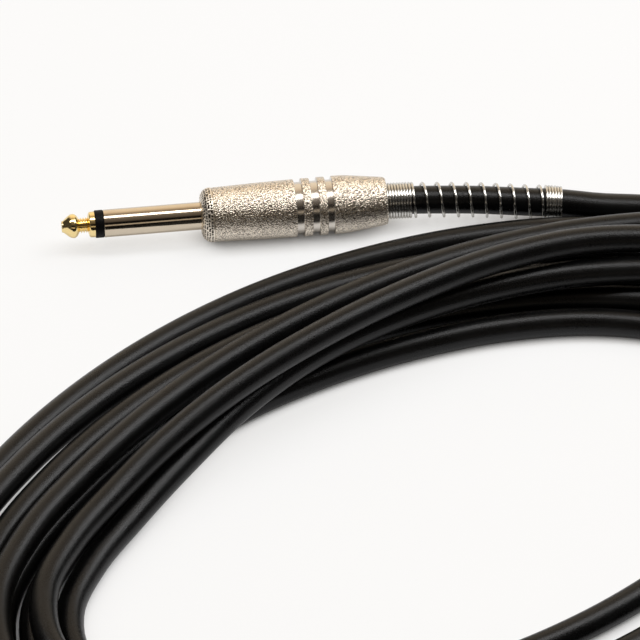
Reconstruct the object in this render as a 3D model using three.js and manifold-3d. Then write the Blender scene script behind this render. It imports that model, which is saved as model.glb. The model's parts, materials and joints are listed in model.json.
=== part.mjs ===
// Instrument cable: one cord, coiled on the floor, with a straight quarter-inch plug on each end.
// Millimetres, +Z up. A plug is drawn along its own x axis: x = 0 is the front face of its collar,
// the tip points to -x and the cord leaves towards +x. The layout starts below the collar of plug a.
import * as THREE from 'three';
import { mergeVertices } from 'three/addons/utils/BufferGeometryUtils.js';
import Module from 'manifold-3d';

const wasm = await Module();
wasm.setup();

// ---------------------------------------------------------------- driving sizes

// Cord
const cordRadius = 3.2;
const cordRestDepth = cordRadius / 5; // the coil's underside is cut flat by a tenth of its diameter
const jacketGap = 0.3; // between cord ends that meet face to face
const leadStep = 4 * cordRadius; // length of one straight piece of a lead
const coreRadius = 1.3;
const coreLength = 9.7;
const conductorRadius = 0.45;
const braidRadius = 0.6;

// Fits
const seam = 0.05; // between faces that are pressed together
const slip = 0.15; // round a piece that sits in another one
const running = 0.3; // round a piece that slides past another one
const contact = 0.1; // under a soldered or clamped wire

// Contact pin
const pinRadius = 3.175;
const pinLength = 31.9;
const tipLength = 7.6;
const ringLength = 2.0;
const rodRadius = 1.1;
const insulatorWall = 0.75;
const sleeveSeat = 6.0;
const rivetRadius = 1.7;
const rivetLength = 0.8;

// Strain spring
const wireRadius = 0.31;
const springLift = 0.4; // from the cord to the wire
const frontCurls = 12;
const openCurls = 9;
const rearCurls = 4;
const closedPitch = 1.1;
const openPitch = 3.3;

// Terminals
const sheet = 0.45; // thickness of the sheet metal
const clampSlip = 0.15;
const clampLength = 6.0;
const clampOpening = 80; // degrees, left open at the top
const strapWidth = 3.0;
const washerLength = 1.1;
const lugRadius = 2.6;
const lugLength = 5.1;
const lugWidth = 2.4;
const lugRise = 1.9;
const wiringLength = 20.0; // from the earth terminal to the end of the jacket
const braidLength = 6.7;
const dropLength = 4.0; // a drop of solder
const dropWidth = 2.4;
const dropHeight = 1.9;

// Housing: liner, barrel and collar, from the spring outwards
const linerWall = 0.4;
const barrelWall = 1.05;
const barrelSwell = 0.52; // how much the barrel grows from its front to its fullest ring
const barrelLength = 39.7;
const barrelTail = 10.0; // the tapered end behind the fullest ring
const barrelTailWall = 0.98;
const boreTaper = 2.0; // inside the barrel, from its bore to its tail's bore
const barrelSeam = 0.15;
const threadSlip = 0.25;
const threadLength = 6.35;
const collarLength = 2.65;
const collarRound = 2.4;
const collarProud = 0.1;
const grooves = 3;
const grooveWidth = 1.65;
const ribWidth = 1.9;
const grooveDepth = 0.75;
const grooveStart = 18.7; // behind the barrel's front edge

// Lay of the coil: an oval, and what each turn adds to it
const ovalCentre = [42.3, -96.4];
const ovalLong = 88;
const ovalShort = 50;
const ovalTilt = 23.4;
const stepsPerTurn = 24;
const stationsPerTurn = 8;
const startAngle = 45; // degrees, and each turn runs clockwise
const turnSpacing = 2 * cordRadius + 0.66;
const layerRise = 1.875 * cordRadius;
const coilStart = 2; // the coil's first step: the lead takes the ones before it
const settleRounds = 150;
const freeRounds = 50;
// Distance beyond the oval at 45, 0, 315, 270, 225, 180, 135 and 90 degrees, one row a turn.
const turnOffsets = [
  [36, 37, 37, 37, 34, 34, 27.5, 28],
  [27.5, 28.5, 30.5, 30.5, 27, 31, 22, 20.5],
  [20.5, 21.5, 23.5, 23.5, 20, 26, 19, 16.5],
  [13.5, 11, 9.5, 9.5, 8, 13, 1.5, -1],
  [-1.5, -1.5, -2.5, -2.5, 0, 4.5, -1, 3.5],
  [8, 12, 20, 20, 16, 19.5, 9, 9.5],
  [6.5, 6, 16, 16.5, 12, 10.5, -0.5, -2],
  [10, 20, 27, 27, 22, 20, 9, 11],
  [20.5, 34, 46],
];
// The layer each turn lies in at the same places.
const turnLayers = [
  [0, 0, 0, 0, 0, 0, 0, 0],
  [0, 0, 0, 0, 0, 0.2, 0.3, 0.2],
  [0, 0, 0, 0, 0, 0.3, 0.5, 0.5],
  [0, 0, 0, 0, 0, 0, 0, 0],
  [0, 0, 0, 0, 0, 0, 0, 1],
  [1.2, 1, 1, 1, 0.5, 0, 0, 0],
  [0, 0.8, 0.2, 0, 0.5, 1, 1, 2.2],
  [1.8, 1, 1, 1, 1, 1, 1, 1.1],
  [1, 1, 0.1],
];

// Where each plug lies, and the bends of its lead: x, y and the share of the plug's height.
const plugs = {
  a: {
    at: [0, 0],
    heading: 0,
    bends: [[49, -0.4, 0.97], [57, -0.9, 0.88], [64, -1.4, 0.77], [68.2, -1.7, 0.65],
      [75, -2.3, 0.48], [82.7, -3, 0.31], [90.7, -4.5, 0.15], [99.6, -5.7, 0.06], [115.5, -8.7, 0.02]],
  },
  b: {
    at: [33.3, -204.2],
    heading: 18.8,
    bends: [[49, 0, 0.97], [60, 0.2, 0.85], [74, 0.8, 0.5], [84, 2, 0.31],
      [97, 5.4, 0.1], [109, 11.2, 0.04], [121, 19, 0.08]],
  },
};

// ---------------------------------------------------------------- sizes that follow

const TAU = 2 * Math.PI;
const ROUND = 24; // sides of a turned piece that shows
const PLAIN = 16; // sides of one inside the housing
const WIRE = 6; // sides of a wire

const insulatorBore = rodRadius + slip;
const insulatorRadius = insulatorBore + insulatorWall;
const springRadius = cordRadius + springLift + wireRadius;
const springOuter = springRadius + wireRadius;
const linerBore = springOuter + running - 0.08;
const linerRadius = linerBore + linerWall;
const barrelBore = linerRadius + running;
const barrelFrontRadius = barrelBore + barrelWall;
const barrelRadius = barrelFrontRadius + barrelSwell;
const tailBore = springOuter + running;
const threadRadius = barrelBore - threadSlip;
const collarRadius = barrelFrontRadius + collarProud;
const collarBore = pinRadius + slip;

const tipRear = tipLength - pinLength;
const ringRear = tipRear + ringLength;
const collarRear = collarLength + threadLength;
const terminalFront = collarRear + seam;
const terminalRear = terminalFront + sheet;
const washerFront = terminalRear + seam;
const washerRear = washerFront + washerLength;
const lugFront = washerRear + seam;
const lugRear = lugFront + sheet;
const rivetFront = lugRear + seam;
const jacketStart = terminalRear + wiringLength;
const clampFront = jacketStart + 0.5;
const clampRear = clampFront + clampLength;
const linerFront = collarRear + 2 * running;
const linerRear = clampRear + running;
const springFront = clampRear + 2 * running;
const barrelFront = collarLength + barrelSeam;
const barrelRear = barrelFront + barrelLength;
const clampBore = cordRadius + clampSlip;
const washerRadius = clampBore - slip;
const coreFront = jacketStart - jacketGap - coreLength;
const plugHeight = barrelRadius; // the barrel lies on the floor
const coilRest = cordRadius - cordRestDepth;

// ---------------------------------------------------------------- solids

// Shared corners merged, flat triangles dropped and faces turned outwards.
function weld(source) {
  source.deleteAttribute('normal');
  source.deleteAttribute('uv');
  const geometry = mergeVertices(source, 1e-5);
  const corners = geometry.index.array;
  const kept = [];
  for (let i = 0; i < corners.length; i += 3) {
    const [a, b, c] = corners.slice(i, i + 3);
    if (a !== b && b !== c && c !== a) kept.push(a, b, c);
  }
  geometry.setIndex(signedVolume(geometry, kept) < 0 ? kept.reverse() : kept);
  return geometry;
}

function signedVolume(geometry, corners) {
  const position = geometry.getAttribute('position');
  const [a, b, c] = [new THREE.Vector3(), new THREE.Vector3(), new THREE.Vector3()];
  let total = 0;
  for (let i = 0; i < corners.length; i += 3) {
    a.fromBufferAttribute(position, corners[i]);
    b.fromBufferAttribute(position, corners[i + 1]);
    c.fromBufferAttribute(position, corners[i + 2]);
    total += a.dot(b.cross(c)) / 6;
  }
  return total;
}

function toSolid(geometry) {
  return new wasm.Manifold(new wasm.Mesh({
    numProp: 3,
    vertProperties: new Float32Array(geometry.getAttribute('position').array),
    triVerts: new Uint32Array(geometry.index.array),
  }));
}

function toGeometry(solid) {
  const { vertProperties, triVerts } = solid.getMesh();
  const geometry = new THREE.BufferGeometry();
  geometry.setAttribute('position', new THREE.BufferAttribute(vertProperties, 3));
  geometry.setIndex(new THREE.BufferAttribute(triVerts, 1));
  return geometry;
}

function fuse(...pieces) {
  return toGeometry(pieces.map(toSolid).reduce((whole, piece) => whole.add(piece)));
}

function cut(piece, ...tools) {
  return toGeometry(tools.map(toSolid).reduce((left, tool) => left.subtract(tool), toSolid(piece)));
}

// A turned piece: an outline of [x, radius] revolved round the x axis.
function turned(outline, sides) {
  const onAxis = outline[0][1] === 0;
  const closed = onAxis ? outline : [...outline, outline[0]];
  const profile = closed.map(([x, radius]) => new THREE.Vector2(radius, x));
  return weld(new THREE.LatheGeometry(profile, sides).rotateZ(-Math.PI / 2));
}

// A ring or bush between two places on the axis.
function bush(from, to, bore, radius, sides) {
  return turned([[from, bore], [from, radius], [to, radius], [to, bore]], sides);
}

function block([x0, x1], [y0, y1], [z0, z1]) {
  const geometry = new THREE.BoxGeometry(x1 - x0, y1 - y0, z1 - z0);
  return weld(geometry.translate((x0 + x1) / 2, (y0 + y1) / 2, (z0 + z1) / 2));
}

// A flat shape drawn in y and z, given its thickness along x.
function extrudedAlongX(shape, from, to) {
  const geometry = new THREE.ExtrudeGeometry(shape, {
    depth: to - from, bevelEnabled: false, curveSegments: 12,
  });
  const [x, y, z] = [new THREE.Vector3(1, 0, 0), new THREE.Vector3(0, 1, 0), new THREE.Vector3(0, 0, 1)];
  return weld(geometry.applyMatrix4(new THREE.Matrix4().makeBasis(y, z, x)).translate(from, 0, 0));
}

function circle(radius, sides) {
  const shape = new THREE.Shape();
  for (let i = 0; i < sides; i++) {
    const turn = (i / sides) * TAU;
    shape[i ? 'lineTo' : 'moveTo'](radius * Math.cos(turn), radius * Math.sin(turn));
  }
  return shape;
}

// A round rod or lead that follows a curve.
function swept(curve, radius, sides, steps) {
  return weld(new THREE.ExtrudeGeometry(circle(radius, sides), { extrudePath: curve, steps }));
}

// A wound tube: one ring of corners at each point, its first corner on the side of outs[i].
function wound(points, outs, radius, sides) {
  const last = points.length - 1;
  const corners = [];
  const faces = [];
  points.forEach((point, i) => {
    const along = points[Math.min(i + 1, last)].clone().sub(points[Math.max(i - 1, 0)]).normalize();
    const side = along.clone().cross(outs[i]).normalize();
    const out = side.clone().cross(along);
    for (let j = 0; j < sides; j++) {
      const turn = (j / sides) * TAU;
      const corner = point.clone().addScaledVector(out, radius * Math.cos(turn));
      corners.push(...corner.addScaledVector(side, radius * Math.sin(turn)).toArray());
      if (i === last) continue;
      const [a, b] = [i * sides + j, i * sides + ((j + 1) % sides)];
      faces.push(a, b, b + sides, a, b + sides, a + sides);
    }
  });
  for (let j = 1; j < sides - 1; j++) {
    faces.push(0, j + 1, j);
    faces.push(last * sides, last * sides + j, last * sides + j + 1);
  }
  const geometry = new THREE.BufferGeometry();
  geometry.setAttribute('position', new THREE.Float32BufferAttribute(corners, 3));
  geometry.setIndex(faces);
  return weld(geometry);
}

// The least gap of a wound tube to its own other turns, from points along its centre line.
function leastGap(points, radius, halfTurn) {
  const finer = points.flatMap((point, i) => (i ? [points[i - 1].clone().lerp(point, 0.5), point] : [point]));
  let least = Infinity;
  for (let i = 0; i < finer.length; i++) {
    for (let j = i + 2 * halfTurn; j < finer.length; j++) {
      least = Math.min(least, finer[i].distanceTo(finer[j]));
    }
  }
  return least - 2 * radius;
}

function lengthOf(points) {
  return points.slice(1).reduce((sum, point, i) => sum + point.distanceTo(points[i]), 0);
}

// ---------------------------------------------------------------- materials

const finish = (color, roughness, metalness) => new THREE.MeshStandardMaterial({ color, roughness, metalness });

const gold = finish(0xd8ae5a, 0.25, 1);
const brightNickel = finish(0xc9c4ba, 0.2, 1);
const satinNickel = finish(0xb8b0a4, 0.45, 1);
const tinnedSteel = finish(0xb4b4b0, 0.35, 1);
const solder = finish(0xa9a9a6, 0.4, 1);
const copper = finish(0xb87333, 0.35, 1);
const blackPlastic = finish(0x141414, 0.5, 0);
const whitePlastic = finish(0xdcd8cc, 0.6, 0);
const jacketBlack = finish(0x17181a, 0.45, 0);

// ---------------------------------------------------------------- pieces of a plug

// Spline through the tip's nose, bulge, waist and shoulder, then the rod to its riveted end.
function tip() {
  const nose = -pinLength;
  const share = [[0, 0.28], [0.25, 0.77], [0.375, 0.89], [0.51, 0.69], [0.67, 0.56], [0.79, 0.79], [1, 1]];
  const curve = new THREE.SplineCurve(
    share.map(([x, radius]) => new THREE.Vector2(nose + x * tipLength, radius * pinRadius)));
  const outline = curve.getPoints(13).map((point) => [point.x, Math.min(point.y, pinRadius)]);
  return turned([
    [nose, 0], ...outline, [tipRear, rodRadius], [rivetFront, rodRadius],
    [rivetFront, rivetRadius], [rivetFront + rivetLength, rivetRadius], [rivetFront + rivetLength, 0],
  ], ROUND);
}

// The black ring behind the tip and the tube that carries it through the sleeve.
function tipInsulator() {
  return turned([
    [tipRear + seam, insulatorBore], [tipRear + seam, pinRadius], [ringRear - seam, pinRadius],
    [ringRear - seam, insulatorRadius], [terminalRear, insulatorRadius], [terminalRear, insulatorBore],
  ], ROUND);
}

function sleeve() {
  return bush(ringRear, sleeveSeat, insulatorRadius + slip, pinRadius, ROUND);
}

// The collar's rounded flange, and behind it the boss that the barrel screws on to.
function collar() {
  const rounding = Math.min(collarRound, collarLength - slip, collarRadius - collarBore - 0.5);
  const arc = [0, 1, 2, 3, 4].map((i) => {
    const turn = (i / 4) * (TAU / 4);
    return [rounding * (1 - Math.cos(turn)), collarRadius - rounding * (1 - Math.sin(turn))];
  });
  const tailHole = insulatorRadius + running;
  return turned([
    [0, collarBore], ...arc, [collarLength, collarRadius], [collarLength, threadRadius],
    [collarRear, threadRadius], [collarRear, tailHole], [sleeveSeat + slip, tailHole],
    [sleeveSeat + slip, collarBore],
  ], ROUND);
}

// Ring on the contact pin, strap along the bottom and the clamp round the jacket.
function earthTerminal() {
  const outer = clampBore + sheet;
  const open = THREE.MathUtils.degToRad(clampOpening / 2);
  const [first, last] = [TAU / 4 + open, TAU * 1.25 - open];
  const clamp = new THREE.Shape();
  clamp.absarc(0, 0, outer, first, last, false);
  clamp.absarc(0, 0, clampBore, last, first, true);
  return fuse(
    bush(terminalFront, terminalRear, insulatorRadius + slip, outer, ROUND),
    block([terminalFront, clampRear], [-strapWidth / 2, strapWidth / 2], [-outer, -clampBore]),
    extrudedAlongX(clamp, clampFront, clampRear),
  );
}

function rearInsulator() {
  return bush(washerFront, washerRear, insulatorBore, washerRadius, PLAIN);
}

function tipLug() {
  return fuse(
    bush(lugFront, lugRear, insulatorBore, lugRadius, PLAIN),
    block([lugFront, lugFront + lugLength], [-lugWidth / 2, lugWidth / 2], [lugRise, lugRise + sheet]),
  );
}

function wireCurve(points) {
  return new THREE.CatmullRomCurve3(points.map(([x, z]) => new THREE.Vector3(x, 0, z)));
}

// The conductor climbs from the axis to the top of the lug's tongue and ends halfway along it.
const conductorStart = coreFront - jacketGap;
const conductorTop = lugRise + sheet + contact + conductorRadius;
const tongueEnd = lugFront + lugLength;
const conductorEnd = lugFront + lugLength / 2;
const climb = (share, rise) => [THREE.MathUtils.lerp(conductorStart, tongueEnd, share), rise * conductorTop];
const conductorRoute = [climb(0, 0), climb(0.35, 0.4), climb(0.7, 0.88), climb(1, 1), [conductorEnd, conductorTop]];

// The pigtail sinks from beside the core to the earth strap.
const braidFirst = jacketStart - jacketGap;
const braidEnd = braidFirst - braidLength;
const braidStart = -(coreRadius + running + braidRadius);
const braidRest = -(clampBore - contact - braidRadius);
const sink = (share) => THREE.MathUtils.lerp(braidStart, braidRest, share);
const braidRoute = [
  [braidFirst, sink(0)], [braidFirst - 0.3 * braidLength, sink(0.2)],
  [braidFirst - 0.65 * braidLength, sink(0.9)], [braidEnd, sink(1)],
];

function conductor(extra = 0) {
  return swept(wireCurve(conductorRoute), conductorRadius + extra, WIRE, 10);
}

function coreInsulation() {
  return turned([
    [coreFront, 0], [coreFront, coreRadius], [coreFront + coreLength, coreRadius], [coreFront + coreLength, 0],
  ], PLAIN);
}

function braidPigtail(extra = 0) {
  return swept(wireCurve(braidRoute), braidRadius + extra, WIRE, 6);
}

// A drop of solder over the end of a wire, cut flat where it sits on the sheet and open round the wire.
function solderDrop(wireEnd, wireHeight, floor, wire, endRadius) {
  const drop = new THREE.SphereGeometry(0.5, 12, 6).scale(dropLength, dropWidth, dropHeight);
  drop.translate(wireEnd + dropLength / 5, 0, wireHeight);
  const under = block([wireEnd - dropLength, wireEnd + dropLength], [-dropWidth, dropWidth],
    [floor - dropHeight, floor]);
  const stop = block([wireEnd - slip, wireEnd + slip], [-endRadius, endRadius],
    [floor, wireHeight + endRadius + slip]);
  return cut(weld(drop), fuse(wire, stop), under);
}

function tipSolder() {
  return solderDrop(conductorEnd, conductorTop, lugRise + sheet + contact, conductor(slip), conductorRadius);
}

function earthSolder() {
  return solderDrop(braidEnd, braidRest, contact - clampBore, braidPigtail(slip), braidRadius);
}

function liner() {
  return bush(linerFront, linerRear, linerBore, linerRadius, ROUND);
}

// Outline from the front edge: a slow swell, the grooves, the fullest ring and the tapered tail.
function barrel() {
  const swell = (x) => barrelFrontRadius + barrelSwell * Math.min(1, x / (barrelLength - barrelTail)) ** 0.8;
  const at = (x, radius) => [barrelFront + x, radius];
  const outline = [at(0, barrelFrontRadius - slip), at(slip, barrelFrontRadius)];
  outline.push(at(grooveStart / 2, swell(grooveStart / 2)));
  for (let i = 0; i < grooves; i++) {
    const start = grooveStart + i * (grooveWidth + ribWidth);
    const depth = swell(start) - grooveDepth;
    outline.push(at(start - slip, swell(start)), at(start, depth));
    outline.push(at(start + grooveWidth, depth), at(start + grooveWidth + slip, swell(start)));
  }
  const tailStart = barrelLength - barrelTail;
  const tailRadius = tailBore + barrelTailWall;
  const fall = (share) => barrelRadius - (barrelRadius - tailRadius) * share;
  outline.push(at(tailStart, barrelRadius), at(tailStart + 0.36 * barrelTail, fall(0.38)));
  outline.push(at(tailStart + 0.7 * barrelTail, fall(0.75)), at(barrelLength - 2.5 * slip, fall(1)));
  outline.push(at(barrelLength, fall(1) - 2.5 * slip), [barrelRear, tailBore]);
  outline.push([linerRear + running + boreTaper, tailBore], [linerRear + running, barrelBore]);
  return turned([...outline, [barrelFront, barrelBore]], ROUND);
}

// ---------------------------------------------------------------- cord

// Catmull-Rom value between the stations of a hand-chosen row.
function between(values, place) {
  const i = Math.floor(place);
  const f = place - i;
  const value = (k) => values[THREE.MathUtils.clamp(k, 0, values.length - 1)];
  const [a, b, c, d] = [value(i - 1), value(i), value(i + 1), value(i + 2)];
  return b + 0.5 * f * (c - a + f * (2 * a - 5 * b + 4 * c - d + f * (3 * (b - c) + d - a)));
}

// Pushes two crossings of the turns apart, in the plane of offset and height, to one spacing.
function part(first, second) {
  const middle = (nodes, c) => nodes.reduce((sum, node) => sum + node[c], 0) / nodes.length;
  const [across, up] = [middle(first, 0) - middle(second, 0), middle(first, 1) - middle(second, 1)];
  const distance = Math.max(Math.hypot(across, up), 1e-6);
  if (distance >= turnSpacing) return;
  const push = (turnSpacing - distance) / 2 / distance;
  for (const node of first) { node[0] += push * across; node[1] += push * up; }
  for (const node of second) { node[0] -= push * across; node[1] -= push * up; }
}

// Draws each node back towards where it was laid, smoothly along the cord.
function drawBack(nodes, laid) {
  const drift = nodes.map((node, k) => [0, 1].map((c) => node[c] - laid[k][c]));
  nodes.forEach((node, k) => {
    const [before, after] = [drift[k - 1] ?? drift[k], drift[k + 1] ?? drift[k]];
    for (const c of [0, 1]) {
      const smooth = 0.5 * drift[k][c] + 0.25 * (before[c] + after[c]);
      node[c] = laid[k][c] + 0.97 * smooth;
    }
  });
}

// Offset and height of the cord at each step, with every turn clear of the others.
function settledTurns() {
  const offsets = turnOffsets.flat();
  const layers = turnLayers.flat();
  const steps = Math.floor(((offsets.length - 1) * stepsPerTurn) / stationsPerTurn);
  const laid = Array.from({ length: steps + 1 }, (_, k) => {
    const place = (k * stationsPerTurn) / stepsPerTurn;
    return [between(offsets, place), coilRest + layerRise * between(layers, place)];
  });
  const nodes = laid.map((node) => [...node]);
  for (let round = 0; round < settleRounds; round++) {
    if (round < settleRounds - freeRounds) drawBack(nodes, laid);
    for (const span of [1, 2]) {
      for (let k = 0; k + span <= nodes.length; k++) {
        for (let j = k - stepsPerTurn; j >= 0; j -= stepsPerTurn) {
          part(nodes.slice(k, k + span), nodes.slice(j, j + span));
        }
      }
      for (const node of nodes) node[1] = Math.max(node[1], coilRest);
    }
  }
  return nodes;
}

// A point of the oval at a turn angle, moved out along the oval's normal.
function onOval(angle, offset, height) {
  const [cos, sin] = [Math.cos(angle), Math.sin(angle)];
  const normal = new THREE.Vector2(ovalShort * cos, ovalLong * sin).normalize();
  const flat = new THREE.Vector2(ovalLong * cos, ovalShort * sin).addScaledVector(normal, offset);
  flat.rotateAround(new THREE.Vector2(), THREE.MathUtils.degToRad(ovalTilt));
  return new THREE.Vector3(flat.x + ovalCentre[0], flat.y + ovalCentre[1], height);
}

// The points of the turns, with both ends lifted to where an uncut cord rests.
function turnRoute() {
  const nodes = settledTurns();
  const last = nodes.length - 1;
  return nodes.map(([offset, height], k) => {
    const angle = THREE.MathUtils.degToRad(startAngle) - (k * TAU) / stepsPerTurn;
    const atEnd = k <= coilStart + 1 || k >= last - 1;
    return onOval(angle, offset, atEnd ? Math.max(height, cordRadius) : height);
  }).slice(coilStart);
}

// The coil begins and ends halfway along the first and the last step, where its leads meet it.
function coilPoints(route) {
  const last = route.length - 1;
  const start = route[0].clone().lerp(route[1], 0.5);
  const end = route[last].clone().lerp(route[last - 1], 0.5);
  return [start, ...route.slice(1, last), end];
}

function coil(points) {
  const up = new THREE.Vector3(0, 0, 1);
  const loops = wound(points, points.map(() => up), cordRadius, 6);
  const box = new THREE.Box3().setFromBufferAttribute(loops.getAttribute('position'));
  box.expandByScalar(cordRadius);
  return cut(loops, block([box.min.x, box.max.x], [box.min.y, box.max.y], [box.min.z, 0]));
}

// The curve of a lead in its plug's frame, from inside the plug to its end of the coil.
function leadCurve(bends, turnStart, coilEnd) {
  const away = turnStart.clone().sub(coilEnd).normalize();
  const fall = plugHeight - cordRadius;
  return new THREE.CatmullRomCurve3([
    new THREE.Vector3(jacketStart, 0, 0),
    new THREE.Vector3(springFront, 0, 0),
    ...bends.map(([x, y, share]) => new THREE.Vector3(x, y, (share - 1) * fall)),
    turnStart,
    coilEnd.clone().addScaledVector(away, jacketGap),
  ]);
}

// ---------------------------------------------------------------- strain spring

// Point and direction at a distance along a lead's straight pieces.
function alongLead(points, distance) {
  let left = distance;
  let i = 0;
  while (i < points.length - 2 && left > points[i].distanceTo(points[i + 1])) {
    left -= points[i].distanceTo(points[i + 1]);
    i++;
  }
  const direction = (k) => points[Math.min(k + 1, points.length - 1)].clone().sub(points[Math.max(k - 1, 0)]);
  const share = left / points[i].distanceTo(points[i + 1]);
  return {
    point: points[i].clone().lerp(points[i + 1], share),
    along: direction(i).normalize().lerp(direction(i + 1).normalize(), share).normalize(),
  };
}

// The spring's centre line round the lead: closed curls, open curls and closed curls again.
function springRoute(lead) {
  const stepsPerCurl = 8;
  const pitches = [[frontCurls, closedPitch], [openCurls, openPitch], [rearCurls, closedPitch]];
  const points = [];
  const outs = [];
  let distance = springFront - jacketStart;
  const addPoint = (turn) => {
    const { point, along } = alongLead(lead, distance);
    const side = new THREE.Vector3(0, 0, 1).cross(along).normalize();
    const up = along.clone().cross(side);
    const out = up.multiplyScalar(Math.cos(turn)).addScaledVector(side, -Math.sin(turn));
    points.push(point.addScaledVector(out, springRadius));
    outs.push(out);
  };
  let step = 0;
  addPoint(0);
  for (const [curls, pitch] of pitches) {
    for (let i = 0; i < curls * stepsPerCurl; i++) {
      distance += pitch / stepsPerCurl;
      step += 1;
      addPoint((step / stepsPerCurl) * TAU);
    }
  }
  return { points, outs };
}

function spring(lead, end) {
  const { points, outs } = springRoute(lead);
  console.log(`spring ${end}: least gap to itself ${leastGap(points, wireRadius, 4).toFixed(2)} mm`);
  return wound(points, outs, wireRadius, 5);
}

// ---------------------------------------------------------------- assembly

function addPiece(group, name, geometry, material) {
  const mesh = new THREE.Mesh(geometry, material);
  mesh.name = name;
  group.add(mesh);
}

function addPlug(layout, end, turnStart, coilEnd) {
  const { at, heading, bends } = plugs[end];
  const plug = new THREE.Group();
  plug.position.set(at[0], at[1], plugHeight);
  plug.rotation.z = THREE.MathUtils.degToRad(heading);
  plug.updateMatrixWorld(true);
  const [start, meeting] = [turnStart, coilEnd].map((point) => plug.worldToLocal(point.clone()));
  const curve = leadCurve(bends, start, meeting);
  const steps = Math.ceil(curve.getLength() / leadStep);
  const lead = curve.getSpacedPoints(steps);
  const pieces = [
    ['tip', tip(), gold],
    ['tip_insulator', tipInsulator(), blackPlastic],
    ['sleeve', sleeve(), brightNickel],
    ['collar', collar(), satinNickel],
    ['earth_terminal', earthTerminal(), tinnedSteel],
    ['rear_insulator', rearInsulator(), blackPlastic],
    ['tip_lug', tipLug(), tinnedSteel],
    ['conductor', conductor(), copper],
    ['core_insulation', coreInsulation(), whitePlastic],
    ['braid_pigtail', braidPigtail(), copper],
    ['tip_solder', tipSolder(), solder],
    ['earth_solder', earthSolder(), solder],
    ['liner', liner(), blackPlastic],
    ['barrel', barrel(), satinNickel],
    ['spring', spring(lead, end), brightNickel],
    ['lead', swept(curve, cordRadius, 12, steps), jacketBlack],
  ];
  for (const [name, geometry, material] of pieces) addPiece(plug, `${name}_${end}`, geometry, material);
  layout.add(plug);
  return lengthOf(lead);
}

const group = new THREE.Group();
const layout = new THREE.Group();
group.add(layout);

const route = turnRoute();
const wholeCoil = coilPoints(route);
const leadLengths = [
  addPlug(layout, 'a', route[0], wholeCoil[0]),
  addPlug(layout, 'b', route[route.length - 1], wholeCoil[wholeCoil.length - 1]),
];
addPiece(layout, 'coil', coil(wholeCoil), jacketBlack);

// The origin goes to the floor below the middle of the two plugs.
const plugBox = new THREE.Box3();
layout.traverse((piece) => {
  if (piece.isMesh && !/^(lead|coil)/.test(piece.name)) plugBox.expandByObject(piece, true);
});
const middle = plugBox.getCenter(new THREE.Vector3());
layout.position.set(-middle.x, -middle.y, 0);
group.updateMatrixWorld(true);

console.log(`coil: least gap to itself ${leastGap(wholeCoil, cordRadius, stepsPerTurn / 2).toFixed(2)} mm`);
console.log(`cord: ${Math.round(lengthOf(wholeCoil) + leadLengths[0] + leadLengths[1])} mm long`);

export default group;
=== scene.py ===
# %% [markdown]
# # An instrument cable
# One black cord lies on a pale floor in eight turns. Each end has a straight plug: a gold tip, a
# nickel sleeve, a blasted nickel barrel, and a spring that eases the cord out of it. The packed
# model holds every piece at its real size. This lesson gives each one its finish, and makes again,
# with fine meshes, the pieces that are too coarse to show.

import json
import math

import bpy
import numpy as np
from mathutils import Matrix, Vector


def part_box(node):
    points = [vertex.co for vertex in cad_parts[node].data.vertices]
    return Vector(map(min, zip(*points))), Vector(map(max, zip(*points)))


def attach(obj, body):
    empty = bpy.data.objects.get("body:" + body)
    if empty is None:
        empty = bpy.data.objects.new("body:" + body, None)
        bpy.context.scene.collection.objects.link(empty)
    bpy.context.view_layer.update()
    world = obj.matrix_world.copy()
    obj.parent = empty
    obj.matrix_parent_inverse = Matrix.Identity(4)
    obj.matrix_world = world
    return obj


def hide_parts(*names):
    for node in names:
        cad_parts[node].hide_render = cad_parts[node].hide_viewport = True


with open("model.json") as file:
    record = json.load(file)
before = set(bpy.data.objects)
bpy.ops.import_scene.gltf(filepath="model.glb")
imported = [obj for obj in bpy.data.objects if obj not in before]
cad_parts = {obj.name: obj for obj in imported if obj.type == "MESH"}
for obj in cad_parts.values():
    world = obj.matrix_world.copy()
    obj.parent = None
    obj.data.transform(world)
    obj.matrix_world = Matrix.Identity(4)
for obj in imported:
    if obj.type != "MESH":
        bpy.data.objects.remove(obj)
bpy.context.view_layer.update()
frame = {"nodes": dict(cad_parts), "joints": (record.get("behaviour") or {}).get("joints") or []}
MM = 0.001
TAU = 2 * math.pi
UP = Vector((0, 0, 1))
print("nodes:", len(frame["nodes"]))

# %% [markdown]
# ## Where each plug is
# A plug is easiest to draw along its own axis, with x = 0 on the collar's front face and the cord
# towards +x. The joint that turns a barrel has its pivot at just that point and its axis along the
# plug, so the joint gives the matrix that puts a drawn piece in place.


# %% The two plugs
def plug_matrix(end):
    """From a plug's own frame, in metres, to the frame that all pieces share."""
    turn = next(j for j in frame["joints"] if j["name"] == f"barrel_turn_{end}")
    along = Vector(turn["axis"])
    matrix = Matrix((along, UP.cross(along), UP)).transposed().to_4x4()
    matrix.translation = Vector(turn["pos_m"])
    return matrix


plugs = {end: plug_matrix(end) for end in "ab"}
nose = plugs["a"].translation


def reach(node):
    """How far a piece of plug a starts and ends behind the collar's face, in millimetres."""
    low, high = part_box(f"{node}_a")
    return (low.x - nose.x) / MM, (high.x - nose.x) / MM


def half_height(node):
    """Radius of a turned piece of plug a, in millimetres."""
    low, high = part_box(f"{node}_a")
    return (high.z - low.z) / 2 / MM


print("barrel from", reach("barrel"), "radius", half_height("barrel"))

# %% [markdown]
# ## The camera
# The photograph looks down at 45 degrees through a long lens, and its 640 pixels span 145 mm. A
# real lens that long stands far away, so the camera is three metres off. Its aim is a point on the
# floor in front of the plug, and the plug points 6.6 degrees away from the picture's left.

# %% Camera
picture_width = 0.1451
camera_distance = 3.0
camera_elevation = math.radians(45)
camera_turn = math.radians(6.6)
aim_from_nose = Vector((23.87, -29.85, 0)) * MM

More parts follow.
